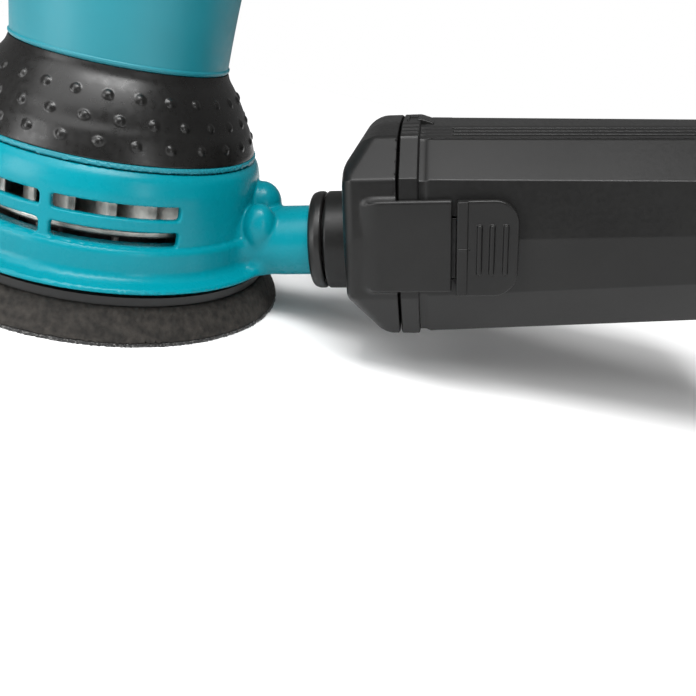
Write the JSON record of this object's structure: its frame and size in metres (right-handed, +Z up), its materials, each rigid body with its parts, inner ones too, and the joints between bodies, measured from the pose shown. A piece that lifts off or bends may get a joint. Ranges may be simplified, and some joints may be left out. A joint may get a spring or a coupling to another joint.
{
  "type": "orbital sander",
  "caption": "Palm-grip random orbital sander with a studded rubber ring, slotted base, round foam pad, inclined dust nozzle and a pull-off rigid dust box.",
  "frame": {"origin": "on the motor axis, in the plane of the sanding face", "axes": "+Z up the motor axis, +X towards the dust box, +Y to the left of the tool seen from its dust box side"},
  "size_m": [0.2895, 0.123, 0.153],
  "materials": {
    "teal_housing": "glossy moulded nylon",
    "studded_rubber": "satin over-moulded rubber",
    "soft_rubber": "fine-grained over-moulded rubber",
    "dark_plastic": "fine spark texture",
    "black_rubber": "satin",
    "cast_aluminium": "as cast",
    "steel": "ground",
    "screw_steel": "zinc plated",
    "laminated_steel": "laminated",
    "copper": "enamelled winding",
    "brass": "stamped",
    "carbon": "graphite",
    "circuit_board": "solder mask",
    "cast_iron": "as cast",
    "pad_foam": "closed-cell foam",
    "hook_fabric": "fine plastic hooks",
    "switch_black": "satin",
    "dial_grey": "satin",
    "box_plastic": "fine spark texture",
    "filter_paper": "pleated paper"
  },
  "bodies": {
    "machine": {"motor_housing": "teal_housing", "grip_ring": "studded_rubber", "base_housing": "teal_housing", "dust_nozzle": "teal_housing", "brake_ring": "black_rubber", "bearing_box": "cast_aluminium", "bearing_retainer": "steel", "retainer_screws": "screw_steel", "base_screws": "screw_steel", "baffle_ring": "dark_plastic", "stator_core": "laminated_steel", "field_coils": "copper", "brush_holders": "brass", "carbon_brushes": "carbon", "brush_springs": "steel", "brush_caps": "dark_plastic", "lower_bearing": "steel", "upper_bearing": "steel", "head_shell": "dark_plastic", "palm_grip": "soft_rubber", "head_screws": "screw_steel", "switch_body": "dark_plastic", "speed_board": "circuit_board", "cord_gland": "black_rubber", "cord_clamp": "dark_plastic", "clamp_screws": "screw_steel"},
    "rotor": {"motor_shaft": "steel", "armature_core": "laminated_steel", "armature_windings": "copper", "commutator": "copper", "cooling_fan": "cast_aluminium", "eccentric_hub": "steel", "counterweight": "cast_iron", "counterweight_screws": "screw_steel", "pad_bearing": "steel", "bearing_circlip": "steel"},
    "pad": {"pad_spindle": "steel", "backing_plate": "dark_plastic", "foam_pad": "pad_foam", "hook_face": "hook_fabric", "pad_washer": "steel", "pad_screw": "screw_steel"},
    "switch": {"switch_rocker": "switch_black"},
    "dial": {"speed_dial": "dial_grey"},
    "dust_cap": {"dust_cap": "box_plastic", "nozzle_seal": "black_rubber", "filter_frame": "dark_plastic", "pleated_filter": "filter_paper"},
    "dust_box": {"dust_box_shell": "box_plastic", "latch_pins": "steel", "left_latch_spring": "steel", "right_latch_spring": "steel"},
    "left_latch": {"left_latch": "box_plastic"},
    "right_latch": {"right_latch": "box_plastic"}
  },
  "joints": [
    {"name": "motor_spin", "type": "hinge", "parent": "machine", "child": "rotor", "pos_m": [0, 0, 0.05], "axis": [0, 0, 1], "continuous": true},
    {"name": "pad_spin", "type": "hinge", "parent": "rotor", "child": "pad", "pos_m": [0, 0.0014, 0.02], "axis": [0, 0, 1], "continuous": true},
    {"name": "switch_rock", "type": "hinge", "parent": "machine", "child": "switch", "pos_m": [-0.041, 0, 0.134], "axis": [0, 1, 0], "range_deg": [0, 14]},
    {"name": "speed_turn", "type": "hinge", "parent": "machine", "child": "dial", "pos_m": [0, -0.0334, 0.1338], "axis": [0, 0, 1], "range_deg": [0, 270]},
    {"name": "nozzle_pull", "type": "slide", "parent": "machine", "child": "dust_cap", "axis": [0.9668, 0, 0.2554], "range_m": [0, 0.032]},
    {"name": "box_pull", "type": "slide", "parent": "dust_cap", "child": "dust_box", "axis": [0.9668, 0, 0.2554], "range_m": [0, 0.112]},
    {"name": "left_press", "type": "hinge", "parent": "dust_box", "child": "left_latch", "pos_m": [0.12918, 0.0326, 0.05209], "axis": [-0.2554, 0, 0.9668], "range_deg": [0, 5], "stiffness_Nm_per_rad": 0.4, "deforming": ["left_latch_spring"]},
    {"name": "right_press", "type": "hinge", "parent": "dust_box", "child": "right_latch", "pos_m": [0.12918, -0.0326, 0.05209], "axis": [0.2554, 0, -0.9668], "range_deg": [0, 5], "stiffness_Nm_per_rad": 0.4, "deforming": ["right_latch_spring"]}
  ]
}
